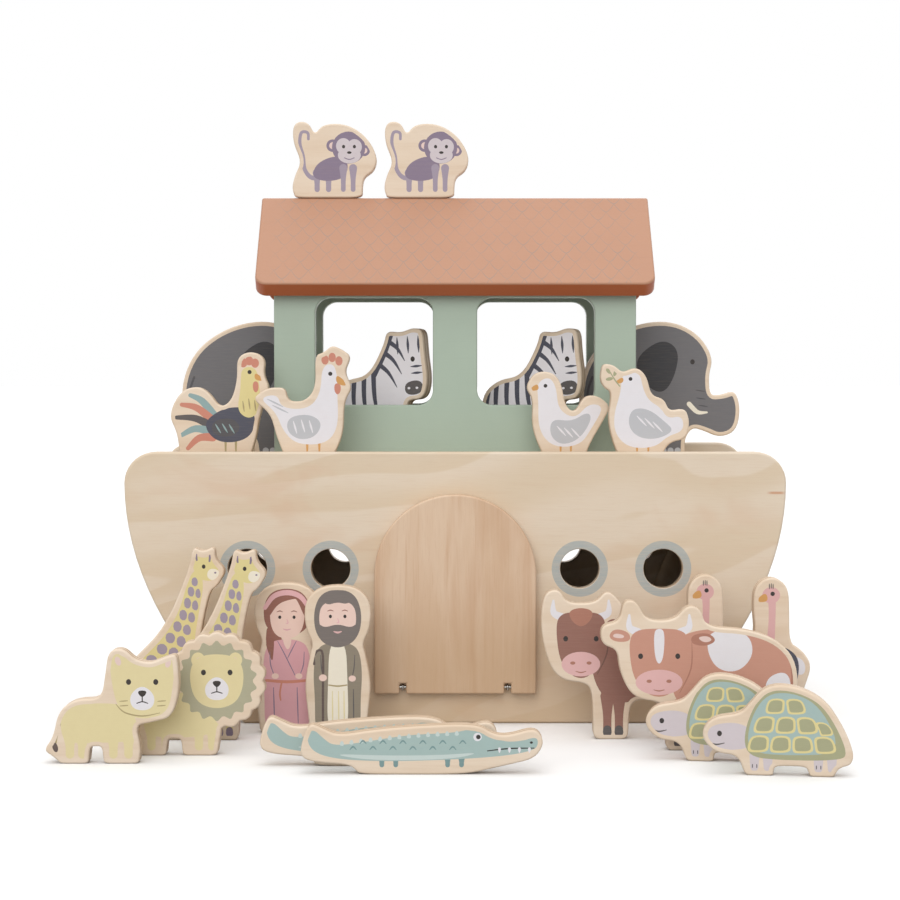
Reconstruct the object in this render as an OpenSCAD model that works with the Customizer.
// Toy ark with a drop-down door, a lift-out house, a lift-off roof and loose plywood figures.
// Millimetres, +Z up. The front faces -Y. The origin is on the floor, at the middle of the hull.

/* [Hull] */
// Length of the hull panels at their widest
hull_l = 380; // [340:1:440]
// Length of the flat bottom
hull_bottom_l = 243; // [200:1:280]
// Height of the hull panels
hull_h = 156.4; // [140:0.1:180]
// Depth of the hull over both panels
hull_w = 184; // [168:1:210]
// Radius of the upper corners of the panels
hull_corner_r = 18; // [8:0.5:30]
// Thickness of the hull boards
board_t = 9; // [7:0.5:12]
// Height of the porthole centres
porthole_z = 89.3; // [75:0.1:100]
// Radius of a porthole
porthole_r = 11.3; // [7:0.1:13]
// From the door's edge to the centre of the nearer porthole
porthole_gap = 25.3; // [22:0.1:32]
// From one porthole to the next
porthole_pitch = 47.9; // [36:0.1:54]

/* [Door] */
// Width of the door
door_w = 92.5; // [70:0.5:100]
// Height of the door's lower edge
door_z = 17.8; // [14:0.1:24]
// Height of the door over its arch
door_h = 114.5; // [100:0.5:124]
// Thickness of the door
door_t = 8; // [7:0.5:10]
// Cut back of the front foot of the door, so that it clears the panel when the door lies down
foot_lift = 0.4; // [0.3:0.1:1]
// How far the door laps over the doorway all round
door_lap = 9.2; // [8.5:0.1:14]
// From the middle of the door to a hinge eye
eye_x = 30; // [24:0.5:32]
// Width of the notch round a hinge eye
eye_notch_w = 3.8; // [3:0.1:6]
// Radius of the hinge pins
pin_r = 0.8; // [0.6:0.05:1]
// Radius of the wire of the hinge eyes
eye_wire_r = 0.6; // [0.4:0.05:0.8]
// Radius of the catch discs
catch_r = 3; // [2:0.1:3.5]
// Thickness of the catch discs
catch_t = 3; // [2:0.1:4]

/* [House] */
// How far the deck lies below the top of the hull
deck_recess = 8.4; // [5:0.1:14]
// Thickness of the deck board
deck_t = 8; // [6:0.5:10]
// Length of the deck board
deck_l = 336; // [320:1:344]
// Width of the house
house_w = 215.6; // [200:0.5:230]
// Depth of the house over both walls
house_d = 85; // [76:0.5:90]
// Height of the walls at their outer faces
wall_h = 106.7; // [100:0.1:120]
// Thickness of the house walls
wall_t = 9; // [7:0.5:10]
// Width of a window
window_w = 70; // [50:0.5:74]
// Height of a window
window_h = 63.8; // [50:0.1:66]
// Height of the window sills above the deck
sill_h = 34.7; // [25:0.1:36]
// From the middle of the house to a window's centre line
window_x = 48.2; // [44:0.1:54]
// Radius of the corners of the windows and the end doorways
window_r = 9; // [3:0.5:14]
// Width of the posts beside the doorways in the ends of the house
post_w = 9.5; // [8:0.1:10]
// How far the end doorways rise above the outer faces of the walls
end_door_rise = 3; // [0:0.1:4]

/* [Roof] */
// Length of the roof
roof_l = 236; // [225:0.5:260]
// Thickness of the roof boards
roof_t = 11; // [8:0.5:13]
// Pitch of the roof in degrees
roof_pitch = 45; // [40:0.5:50]
// From the wall to the lower edge of the roof's underside
eave = 8; // [4:0.5:9]
// Width of the flat along the ridge
ridge_flat = 8; // [5:0.5:12]
// Radius of the lower corners of the roof boards
roof_corner_r = 7; // [2:0.5:12]
// Thickness of the ribs under the roof
rib_t = 10; // [6:0.5:14]

/* [Figures] */
// Thickness of the figures
figure_t = 10; // [7:0.5:12]
// Clear space left each side of the door where it swings down
ramp_side = 1.2; // [0.8:0.1:6]
// Clear space left beyond the tip of the open door
ramp_end = 11; // [4:0.5:30]
// From the left end of the roof to the left monkey
monkey_in = 40.3; // [30:0.1:60]
// From one monkey to the other
monkey_pitch = 56.2; // [54:0.1:80]
// From the left end of the deck to the left elephant
elephant_left_in = 49.1; // [48:0.1:54]
// From the right end of the deck to the right elephant
elephant_right_in = 40.2; // [38:0.1:48]
// From the middle of the house back to the elephants
elephant_back = 14; // [13:0.1:16]
// From the left end of the deck to the rooster
rooster_in = 30.5; // [26:0.1:34]
// From the rooster to the hen
hen_pitch = 49; // [46:0.1:64]
// From the right end of the deck to the right dove
dove_in = 58.4; // [35:0.1:60]
// From one dove to the other
dove_pitch = 43.5; // [42:0.1:60]
// Gap between the two rows of birds on the deck
row_gap = 3; // [1:0.1:4]
// From the middle of the house forward to the zebras
zebra_forward = 10; // [8:0.5:12]
// How far the zebras are turned, in degrees
zebra_turn = -20; // [-22:1:10]
// How far the turtles are turned, in degrees
turtle_turn = -8; // [-12:1:12]

/* [Fits] */
// Gap under a piece that only rests on another
rest_gap = 0.2; // [0.1:0.05:0.4]
// Gap beside a piece that lifts in or out
slide_gap = 0.5; // [0.3:0.05:1]
// Gap round a piece that is glued or driven in
glue_gap = 0.05; // [0.02:0.01:0.1]
// Gap round a pin that turns
turn_gap = 0.08; // [0.04:0.01:0.1]
// Radius of the dowels
dowel_r = 2.5; // [1.5:0.1:3]

/* [Hidden] */
$fn = 64;

plywood = [0.85, 0.72, 0.54];
door_wood = [0.87, 0.68, 0.52];
green = [0.68, 0.72, 0.60];
terracotta = [0.76, 0.50, 0.43];
steel = [0.62, 0.62, 0.62];

// Levels and faces that several pieces share.
hull_front = -hull_w / 2;
hull_inner = hull_w / 2 - board_t;
deck_top = hull_h - deck_recess;
deck_under = deck_top - deck_t;
ledge_top = deck_under - rest_gap;
wall_top = deck_top + wall_h;
house_inner = house_d / 2 - wall_t;
roof_apex = wall_top + house_d / 2 * tan(roof_pitch);
ridge_z = roof_apex + roof_t / cos(roof_pitch) - ridge_flat / 2 * tan(roof_pitch);

// The end boards lean out from the flat bottom to the deck.
end_bottom_x = hull_bottom_l / 2 - 8;
end_top_x = deck_l / 2 + 4;
end_lean = atan((end_top_x - end_bottom_x) / ledge_top);
end_across = board_t / cos(end_lean);

// The door turns about a pin line in the middle of its thickness.
door_gap = 0.4;
hinge_y = hull_front - door_gap - door_t / 2;
hinge_z = door_z + door_t / 2;
arch_z = door_z + door_h - door_w / 2;
sill_z = hinge_z + 8;
eye_r = pin_r + turn_gap + eye_wire_r;
catch_z = door_z + door_h - door_lap / 2;
door_reach = door_z + door_h - hinge_z;

portholes = [
    -door_w / 2 - porthole_gap - porthole_pitch,
    -door_w / 2 - porthole_gap,
    door_w / 2 + porthole_gap,
    door_w / 2 + porthole_gap + porthole_pitch
];

dowel_l = 20;
panel_bite = 6;
floor_dowel_x = [-80, 0, 80];
end_dowel_z = [40, 105];
deck_bite = 5;

// Figures in front of the hull: across, and out from the hull's front face.
lioness_at = [-176.5, 124.3];
lion_at = [-136.7, 100.2];
giraffe_left_at = [-161, 39];
giraffe_right_at = [-137, 52.7];
woman_at = [-94, 31];
man_at = [-door_w / 2 - ramp_side - 17.5, 45];
bull_at = [door_w / 2 + ramp_side + 38.5, 49.5];
cow_at = [129.5, 85];
turtle_back_at = [137.5, 118.6];
turtle_front_at = [162.5, 158.4];
ostrich_left_at = [144.5, 31];
ostrich_right_at = [178.5, 50];
crocodile_back_at = [-39.7, door_gap + door_t / 2 + door_reach + ramp_end + figure_t / 2];
crocodile_front_at = [-17.2, crocodile_back_at[1] + figure_t + 13.4];

// The birds stand in two rows in front of the house, the first one close behind the hull panel.
first_row_y = -hull_inner + 2 * slide_gap + figure_t / 2;
second_row_y = first_row_y + figure_t + row_gap;

// Outlines. Each corner is [across, up, softness]: 1 bends from mid-edge to mid-edge, 0 is sharp.
monkey_outline = [
    [-20, 0, .4], [21, 0, .4], [21.5, 12, .8], [28.5, 16.5, .9], [30.5, 25, 1], [24, 37, 1],
    [12, 45, 1], [-3, 45, 1], [-8, 38, .9], [-12, 46.5, 1], [-21, 46, 1], [-21.5, 34, 1],
    [-16, 22, 1], [-20, 14, .9], [-22, 6, .9]
];
elephant_outline = [
    [-44, 0, .4], [-27, 0, .4], [-25, 14, .7], [-6, 14, .7], [-4, 0, .4], [14.8, 0, .4],
    [14.8, 13, .8], [19.5, 20, .9], [28, 17.5, 1], [36.5, 13.5, 1], [47, 17.5, 1], [49.5, 32, 1],
    [46, 42.8, .9], [38.5, 40.2, .7], [30.5, 39.5, .8], [29.4, 52, 1], [32.5, 63, 1], [23.5, 77.5, 1],
    [8, 85.5, 1], [-10, 85.2, 1], [-28, 78.5, 1], [-43, 66, 1], [-51, 46, 1], [-49.5, 20, 1]
];
rooster_outline = [
    [-22, 0, .4], [16, 0, .4], [21, 14, 1], [23.5, 30, 1], [29.5, 44, .8], [25.5, 53, .9],
    [27, 62, 1], [19, 66.5, 1], [10, 63, 1], [10.5, 50, 1], [7, 37, 1], [0, 33, 1],
    [-6, 42, 1], [-13, 46, 1], [-23, 43, 1], [-30, 29, 1], [-25, 19, 1], [-23.5, 8, .8]
];
hen_outline = [
    [-8, 0, .4], [15, 0, .4], [20, 9, .9], [24, 20, 1], [24, 37, 1], [29, 45, .8],
    [24.5, 54, .8], [28.5, 63, .9], [23, 67, .9], [17.5, 69.5, .9], [13, 65.5, .9], [7.5, 63.5, .8],
    [8, 45, .9], [2, 37, 1], [-8, 37, .8], [-10, 45, .7], [-20, 45, .8], [-29, 38.5, .8],
    [-18, 30, 1], [-15, 17, 1]
];
dove_left_outline = [
    [-12, 0, .4], [8, 0, .4], [13, 13, 1], [19, 23, 1], [25, 34, .8], [17, 40.5, .9],
    [9, 40, .9], [4, 30, 1], [-2, 34, 1], [-4, 48, 1], [-10, 54.5, 1], [-20, 54, 1],
    [-25, 45, .8], [-20.5, 38, .9], [-21.5, 22, 1], [-16, 8, 1]
];
dove_right_outline = [
    [-12, 0, .4], [8, 0, .4], [13, 13, .9], [24, 15.5, .8], [26, 25, .8], [23.5, 33, .8],
    [14, 31.5, .8], [11, 38.5, .9], [3.5, 40.5, .9], [1, 52, 1], [-5, 57, .9], [-13, 53.5, .8],
    [-18, 58, .8], [-24.5, 59, .8], [-26, 50, .9], [-23.5, 45, .9], [-19, 42.5, .8], [-21.5, 26, 1],
    [-17, 9, 1]
];
zebra_outline = [
    [-28, 0, .4], [-14, 0, .4], [-13, 16, .6], [4, 16, .6], [5, 0, .4], [19, 0, .4],
    [19, 30, .9], [20, 37, .7], [30, 38, .9], [33, 49, 1], [30.5, 65, 1], [29.5, 79.5, .8],
    [23, 81, .9], [15.5, 78, .9], [6, 79, .8], [4, 70, 1], [-6, 51.5, 1], [-21, 49.5, 1],
    [-32, 40, 1], [-31, 20, 1]
];
giraffe_outline = [
    [-26, 0, .4], [-13, 0, .4], [-12, 12, .6], [4, 12, .6], [5, 0, .4], [18, 0, .4],
    [18.5, 30, .9], [19.5, 57, 1], [24.5, 80.5, .9], [29, 83.5, .8], [34, 92, .8], [28, 98.5, .8],
    [27.5, 105.5, .8], [21, 102.5, .9], [15.5, 105.5, .9], [14, 94.5, 1], [0, 60, 1],
    [-19, 42, 1], [-29, 28, 1]
];
lioness_outline = [
    [-27, 0, .4], [-13, 0, .4], [-12, 9, .6], [-6, 9, .6], [-5, 0, .4], [13, 0, .4],
    [14, 8, .7], [11.5, 20, .8], [20, 21.5, .8], [30, 24, .9], [34, 37, 1], [33.5, 50, 1],
    [32.5, 57, .9], [26.5, 55, .9], [19, 52, .8], [11, 54, .8], [5, 60, 1], [-2.5, 58.5, 1],
    [-4, 47, 1], [-6, 33.5, .9], [-20, 33.5, 1], [-28.5, 27, 1], [-31, 14, .9], [-36, 7, .8],
    [-31, 3.5, .8]
];
lion_body_outline = [
    [-29, 0, .4], [-16, 0, .4], [-15, 9, .6], [-8, 9, .6], [-7, 0, .4], [11, 0, .4],
    [13, 12, .8], [15, 30, 1], [0, 42, 1], [-16, 36, 1], [-29, 31, 1], [-32, 16, .9],
    [-37, 8, .8], [-32, 4, .8]
];
person_half = [
    [15, 0, .4], [16.5, 14, 1], [18.5, 30, 1], [15, 47, 1], [13.5, 52.5, 1], [18, 61, 1],
    [18.5, 76, 1], [9, 84.5, 1]
];
crocodile_outline = [
    [-31, 0, .5], [22, 0, .6], [44, 5, 1], [57, 8, .9], [62, 16.5, 1], [57, 23.5, .9],
    [44, 19.5, 1], [36, 20, 1], [28, 25.5, 1], [0, 24.5, 1], [-24, 22.5, 1], [-42, 19.5, 1],
    [-49.5, 23, 1], [-56, 26, .9], [-59.5, 19, 1], [-61.5, 9, 1], [-54, 6, 1], [-36, 5, .8]
];
bull_outline = [
    [-10, 0, .4], [9, 0, .4], [10, 20, .8], [18, 22.5, .8], [26, 20, .8], [27, 0, .4],
    [46, 0, .4], [51, 20, 1], [51, 46, 1], [40, 55, 1], [14, 60, 1], [9, 67, .9],
    [4, 77, .9], [-3, 82.5, .9], [-9, 75, .9], [-25, 75, .9], [-29, 83, .9], [-37, 81, .9],
    [-39.5, 67, 1], [-37, 48, 1], [-30, 33, 1], [-13, 31, .8], [-10.5, 24, .8]
];
cow_outline = [
    [-17, 0, .4], [1, 0, .4], [2, 19, .8], [16, 21.5, .8], [32, 19, .8], [33, 0, .4],
    [50, 0, .4], [53, 25, 1], [53, 47, 1], [43, 59, 1], [26, 65, 1], [4, 66, .9],
    [1, 76, .9], [-6, 78, .9], [-13, 69.5, .9], [-28, 69.5, .9], [-33, 80, .9], [-40, 80.5, .9],
    [-42, 69, .9], [-52, 67, .9], [-52, 57, .9], [-43, 54, .9], [-42, 42, 1], [-35, 28, 1],
    [-20, 26, .8], [-17, 20, .8]
];
turtle_outline = [
    [-17, 0, .4], [-3.5, 0, .4], [-2.5, 5, .6], [13, 5, .6], [15, 0, .4], [26.5, 0, .4],
    [29, 4.5, .8], [35.5, 6.5, .9], [36.5, 13, 1], [30, 27, 1], [21.5, 39, 1], [7, 45.5, 1],
    [-7, 45.5, 1], [-15, 36, 1], [-20, 30.5, 1], [-34, 29, 1], [-40, 20, 1], [-33, 11, 1],
    [-21, 10, .8]
];
ostrich_outline = [
    [-11, 0, .4], [8, 0, .4], [9, 16, .8], [14, 30, 1], [17.5, 41, .9], [12, 49.5, 1],
    [5, 53, .9], [5, 72, 1], [4.2, 85, 1], [-5, 90.5, 1], [-14.2, 85, 1], [-15, 72, 1],
    [-13.2, 57.5, 1], [-20, 47, 1], [-18, 32, 1], [-11, 20, 1]
];

function flat2(p) = [p[0], p[1]];

function bend(a, b, c, t) = a * (1 - t) * (1 - t) + b * 2 * t * (1 - t) + c * t * t;

function soft_outline(corners, steps = 5) = [
    for (i = [0 : len(corners) - 1])
        let (
            n = len(corners),
            here = corners[i],
            before = corners[(i + n - 1) % n],
            after = corners[(i + 1) % n],
            from = flat2(here) + (flat2(before) - flat2(here)) * here[2] / 2,
            to = flat2(here) + (flat2(after) - flat2(here)) * here[2] / 2,
            last = here[2] + after[2] < 2 ? steps : steps - 1
        )
        for (k = [0 : last])
            bend(from, flat2(here), to, k / steps)
];

function both_sides(half) = concat(
    half,
    [for (i = [len(half) - 1 : -1 : 0]) [-half[i][0], half[i][1], half[i][2]]]
);

function scallops(centre, radius, depth, count) = [
    for (a = [0 : 60 / count : 359.9])
        centre + (radius + depth * abs(sin(a * count / 2))) * [cos(a), sin(a)]
];

// Half length of a hull panel at height z: a curve that is upright where the corner begins.
function hull_half(z) =
    let (rise = hull_h - hull_corner_r)
    hull_l / 2 - (hull_l - hull_bottom_l) / 2 * pow((rise - z) / rise, 2);

function hull_side() = concat(
    [for (i = [0 : 16]) let (z = (hull_h - hull_corner_r) * i / 16) [hull_half(z), z]],
    [
        for (a = [10 : 10 : 90])
            [hull_l / 2, hull_h] + hull_corner_r * [cos(a) - 1, sin(a) - 1]
    ]
);

function hull_outline() =
    let (side = hull_side())
    concat(side, [for (i = [len(side) - 1 : -1 : 0]) [-side[i][0], side[i][1]]]);

// A sheet drawn in X and Z, standing with its front at y and its thickness behind.
module upright(y, thickness) {
    translate([0, y + thickness, 0])
        rotate([90, 0, 0])
            linear_extrude(thickness)
                children();
}

// A profile drawn in Y and Z, run along X from one place to another.
module along(from, to) {
    translate([from, 0, 0])
        rotate([90, 0, 90])
            linear_extrude(to - from)
                children();
}

module rounded_window(width, height, radius) {
    translate([-width / 2, radius])
        square([width, height - 2 * radius]);
    translate([-width / 2 + radius, 0])
        square([width - 2 * radius, height]);
    for (x = [-1, 1], y = [radius, height - radius])
        translate([x * (width / 2 - radius), y])
            circle(radius);
}

module arch(width, bottom, centre) {
    translate([-width / 2, bottom])
        square([width, centre - bottom]);
    translate([0, centre])
        circle(width / 2);
}

module cylinder_y(radius, from, to) {
    translate([0, from, 0])
        rotate([-90, 0, 0])
            cylinder(r = radius, h = to - from);
}

module cylinder_x(radius, from, to) {
    translate([from, 0, 0])
        rotate([0, 90, 0])
            cylinder(r = radius, h = to - from);
}

// Dowels that run from the front of the hull inward; the gap makes the holes they sit in.
module floor_dowel_row(gap) {
    for (x = floor_dowel_x)
        translate([x, 0, board_t / 2])
            cylinder_y(
                dowel_r + gap,
                -hull_inner - panel_bite - 10 * gap,
                -hull_inner - panel_bite + dowel_l + 10 * gap
            );
}

module end_dowel_row(gap) {
    for (side = [-1, 1], z = end_dowel_z)
        translate([side * (end_bottom_x + z * tan(end_lean) - end_across / 2), 0, z])
            cylinder_y(
                dowel_r + gap,
                -hull_inner - panel_bite - 10 * gap,
                -hull_inner - panel_bite + dowel_l + 10 * gap
            );
}

module front_and_back() {
    children();
    mirror([0, 1, 0])
        children();
}

module house_dowel_set(gap) {
    bottom = deck_top - deck_bite - 10 * gap;
    length = dowel_l + 20 * gap;
    for (x = [-house_w / 2 + 13, 0, house_w / 2 - 13], side = [-1, 1])
        translate([x, side * (house_d / 2 - wall_t / 2), bottom])
            cylinder(r = dowel_r + gap, h = length);
    for (end = [-1, 1], side = [-1, 1])
        translate([end * (house_w / 2 - wall_t / 2), side * (house_inner - post_w / 2), bottom])
            cylinder(r = dowel_r + gap, h = length);
}

module hull_panel() {
    difference() {
        upright(hull_front, board_t)
            polygon(hull_outline());
        for (x = portholes)
            translate([x, 0, porthole_z])
                cylinder_y(porthole_r, hull_front - 1, hull_front + board_t + 1);
        floor_dowel_row(glue_gap);
        end_dowel_row(glue_gap);
    }
}

module hull_front_panel() {
    color(plywood)
        difference() {
            hull_panel();
            upright(hull_front - 1, board_t + 2)
                arch(door_w - 2 * door_lap, sill_z, arch_z);
            translate([0, 0, catch_z])
                cylinder_y(catch_r + glue_gap, hull_front - 1, hull_front + catch_t + glue_gap);
            for (side = [-1, 1])
                translate([side * eye_x, 0, hinge_z])
                    cylinder_y(eye_wire_r + glue_gap, hull_front - 1, hull_front + 7);
        }
}

module hull_back_panel() {
    color(plywood)
        mirror([0, 1, 0])
            hull_panel();
}

module hull_floor() {
    half = end_bottom_x - end_across;
    slope = board_t * tan(end_lean);
    color(plywood)
        difference() {
            upright(-hull_inner, 2 * hull_inner)
                polygon([[-half, 0], [half, 0], [half + slope, board_t], [-half - slope, board_t]]);
            front_and_back()
                floor_dowel_row(glue_gap);
        }
}

module end_board() {
    color(plywood)
        difference() {
            upright(-hull_inner, 2 * hull_inner)
                polygon([
                    [end_bottom_x - end_across, 0],
                    [end_bottom_x, 0],
                    [end_top_x, ledge_top],
                    [end_top_x - end_across, ledge_top]
                ]);
            front_and_back()
                end_dowel_row(glue_gap);
        }
}

module end_board_left() {
    mirror([1, 0, 0])
        end_board();
}

module end_board_right() {
    end_board();
}

module ledge_front() {
    half = end_top_x - end_across - 12;
    color(plywood)
        translate([-half, -hull_inner, ledge_top - 10])
            cube([2 * half, 8, 10]);
}

module ledge_back() {
    mirror([0, 1, 0])
        ledge_front();
}

module hinge_eyes() {
    color(steel)
        for (side = [-1, 1])
            translate([side * eye_x, hinge_y, hinge_z]) {
                rotate([0, 90, 0])
                    rotate_extrude()
                        translate([eye_r, 0])
                            circle(eye_wire_r, $fn = 24);
                cylinder_y(eye_wire_r, eye_r, hull_front + 6.5 - hinge_y);
            }
}

module catch_keeper() {
    color(steel)
        translate([0, 0, catch_z])
            cylinder_y(catch_r, hull_front, hull_front + catch_t);
}

module floor_dowels() {
    color(door_wood)
        front_and_back()
            floor_dowel_row(0);
}

module end_dowels() {
    color(door_wood)
        front_and_back()
            end_dowel_row(0);
}

module door_board() {
    color(door_wood)
        difference() {
            union() {
                upright(hinge_y - door_t / 2, door_t)
                    arch(door_w, hinge_z, arch_z);
                translate([0, hinge_y, hinge_z])
                    cylinder_x(door_t / 2, -door_w / 2, door_w / 2);
                translate([-door_w / 2, hinge_y - door_t / 2, door_z + foot_lift])
                    cube([door_w, door_t / 2, hinge_z - door_z - foot_lift]);
            }
            for (side = [-1, 1])
                translate([side * eye_x - eye_notch_w / 2, hinge_y - door_t, door_z - 1])
                    cube([eye_notch_w, 2 * door_t, hinge_z - door_z + 1 + eye_r + eye_wire_r + 0.3]);
            for (side = [0, 1])
                mirror([side, 0, 0])
                    translate([0, hinge_y, hinge_z])
                        cylinder_x(pin_r + glue_gap, eye_x - 9, door_w / 2 + 1);
            translate([0, 0, catch_z])
                cylinder_y(catch_r + glue_gap, hinge_y + door_t / 2 - catch_t - glue_gap, hull_front);
        }
}

module door_pins() {
    color(steel)
        for (side = [0, 1])
            mirror([side, 0, 0])
                translate([0, hinge_y, hinge_z])
                    cylinder_x(pin_r, eye_x - 8.5, door_w / 2 - 0.5);
}

module door_magnet() {
    color(steel)
        translate([0, 0, catch_z])
            cylinder_y(catch_r, hinge_y + door_t / 2 - catch_t, hinge_y + door_t / 2);
}

module deck_board() {
    half = hull_inner - slide_gap;
    color(plywood)
        difference() {
            translate([-deck_l / 2, -half, deck_under])
                cube([deck_l, 2 * half, deck_t]);
            house_dowel_set(glue_gap);
        }
}

module house_front_wall() {
    rise = wall_t * tan(roof_pitch);
    color(green)
        difference() {
            along(-house_w / 2, house_w / 2)
                polygon([
                    [-house_d / 2, deck_top],
                    [-house_inner, deck_top],
                    [-house_inner, wall_top + rise - rest_gap],
                    [-house_d / 2, wall_top - rest_gap]
                ]);
            for (side = [-1, 1])
                translate([side * window_x, 0, deck_top + sill_h])
                    upright(-house_d / 2 - 1, wall_t + 2)
                        rounded_window(window_w, window_h, window_r);
            house_dowel_set(glue_gap);
        }
}

module house_back_wall() {
    mirror([0, 1, 0])
        house_front_wall();
}

module gable_right() {
    shoulder = wall_top + wall_t * tan(roof_pitch) - rest_gap;
    door_bottom = deck_top - window_r - 1;
    door_top = wall_top + end_door_rise;
    color(green)
        difference() {
            along(house_w / 2 - wall_t, house_w / 2)
                polygon([
                    [-house_inner, deck_top],
                    [house_inner, deck_top],
                    [house_inner, shoulder],
                    [0, roof_apex - rest_gap],
                    [-house_inner, shoulder]
                ]);
            along(house_w / 2 - wall_t - 1, house_w / 2 + 1)
                translate([0, door_bottom])
                    rounded_window(2 * (house_inner - post_w), door_top - door_bottom, window_r);
            house_dowel_set(glue_gap);
        }
}

module gable_left() {
    mirror([1, 0, 0])
        gable_right();
}

module house_dowels() {
    color(door_wood)
        house_dowel_set(0);
}

module roof_front_board() {
    length = (house_d / 2 + eave) / cos(roof_pitch);
    beyond = roof_t * tan(roof_pitch) + 2;
    big = roof_l + 40;
    color(terracotta)
        difference() {
            translate([0, 0, roof_apex])
                rotate([roof_pitch, 0, 0])
                    linear_extrude(roof_t) {
                        translate([-roof_l / 2, roof_corner_r - length])
                            square([roof_l, length + beyond - roof_corner_r]);
                        translate([roof_corner_r - roof_l / 2, -length])
                            square([roof_l - 2 * roof_corner_r, length]);
                        for (side = [-1, 1])
                            translate([side * (roof_l / 2 - roof_corner_r), roof_corner_r - length])
                                circle(roof_corner_r);
                    }
            translate([-big / 2, 0, roof_apex - 60])
                cube([big, 60, 120]);
            translate([-big / 2, -60, ridge_z])
                cube([big, 120, 60]);
        }
}

module roof_back_board() {
    mirror([0, 1, 0])
        roof_front_board();
}

module roof_rib_right() {
    outer = house_w / 2 - wall_t - slide_gap;
    half = house_inner - slide_gap;
    corner = roof_apex - half * tan(roof_pitch);
    color(plywood)
        along(outer - rib_t, outer)
            polygon([
                [-half, corner - 4],
                [half, corner - 4],
                [half, corner],
                [0, roof_apex],
                [-half, corner]
            ]);
}

module roof_rib_left() {
    mirror([1, 0, 0])
        roof_rib_right();
}

// A figure cut from sheet, standing on level z with the middle of its thickness at y.
module figure(outline, x, y, z, turn = 0) {
    color(plywood)
        translate([x, y, z])
            rotate([0, 0, turn])
                upright(-figure_t / 2, figure_t)
                    polygon(soft_outline(outline));
}

module floor_figure(outline, at, turn = 0) {
    figure(outline, at[0], hull_front - at[1], 0, turn);
}

module monkey_left() {
    figure(monkey_outline, monkey_in - roof_l / 2, 0, ridge_z + rest_gap);
}

module monkey_right() {
    figure(monkey_outline, monkey_in + monkey_pitch - roof_l / 2, 0, ridge_z + rest_gap);
}

module elephant_left() {
    figure(elephant_outline, elephant_left_in - deck_l / 2, elephant_back, deck_top + rest_gap);
}

module elephant_right() {
    figure(elephant_outline, deck_l / 2 - elephant_right_in, elephant_back, deck_top + rest_gap);
}

module rooster() {
    figure(rooster_outline, rooster_in - deck_l / 2, second_row_y, deck_top + rest_gap);
}

module hen() {
    figure(hen_outline, rooster_in + hen_pitch - deck_l / 2, first_row_y, deck_top + rest_gap);
}

module dove_left() {
    figure(dove_left_outline, deck_l / 2 - dove_in - dove_pitch, second_row_y, deck_top + rest_gap);
}

module dove_right() {
    figure(dove_right_outline, deck_l / 2 - dove_in, first_row_y, deck_top + rest_gap);
}

module zebra_left() {
    figure(zebra_outline, -window_x + 2.5, -zebra_forward, deck_top + rest_gap, zebra_turn);
}

module zebra_right() {
    figure(zebra_outline, window_x - 0.5, -zebra_forward, deck_top + rest_gap, zebra_turn);
}

module giraffe_left() {
    floor_figure(giraffe_outline, giraffe_left_at);
}

module giraffe_right() {
    floor_figure(giraffe_outline, giraffe_right_at);
}

module lioness() {
    floor_figure(lioness_outline, lioness_at);
}

module lion() {
    color(plywood)
        translate([lion_at[0], hull_front - lion_at[1], 0])
            upright(-figure_t / 2, figure_t) {
                polygon(soft_outline(lion_body_outline));
                polygon(scallops([11, 39.5], 24.2, 1.6, 18));
            }
}

module woman() {
    floor_figure(both_sides(person_half), woman_at);
}

module man() {
    floor_figure(both_sides(person_half), man_at);
}

module crocodile_back() {
    floor_figure(crocodile_outline, crocodile_back_at);
}

module crocodile_front() {
    floor_figure(crocodile_outline, crocodile_front_at);
}

module bull() {
    floor_figure(bull_outline, bull_at);
}

module cow() {
    floor_figure(cow_outline, cow_at);
}

module turtle_back() {
    floor_figure(turtle_outline, turtle_back_at, turtle_turn);
}

module turtle_front() {
    floor_figure(turtle_outline, turtle_front_at, turtle_turn);
}

module ostrich_left() {
    floor_figure(ostrich_outline, ostrich_left_at);
}

module ostrich_right() {
    floor_figure(ostrich_outline, ostrich_right_at);
}

hull_front_panel();
hull_back_panel();
hull_floor();
end_board_left();
end_board_right();
ledge_front();
ledge_back();
hinge_eyes();
catch_keeper();
floor_dowels();
end_dowels();
door_board();
door_pins();
door_magnet();
deck_board();
house_front_wall();
house_back_wall();
gable_left();
gable_right();
house_dowels();
roof_front_board();
roof_back_board();
roof_rib_left();
roof_rib_right();
monkey_left();
monkey_right();
elephant_left();
elephant_right();
rooster();
hen();
dove_left();
dove_right();
zebra_left();
zebra_right();
giraffe_left();
giraffe_right();
lioness();
lion();
woman();
man();
crocodile_back();
crocodile_front();
bull();
cow();
turtle_back();
turtle_front();
ostrich_left();
ostrich_right();
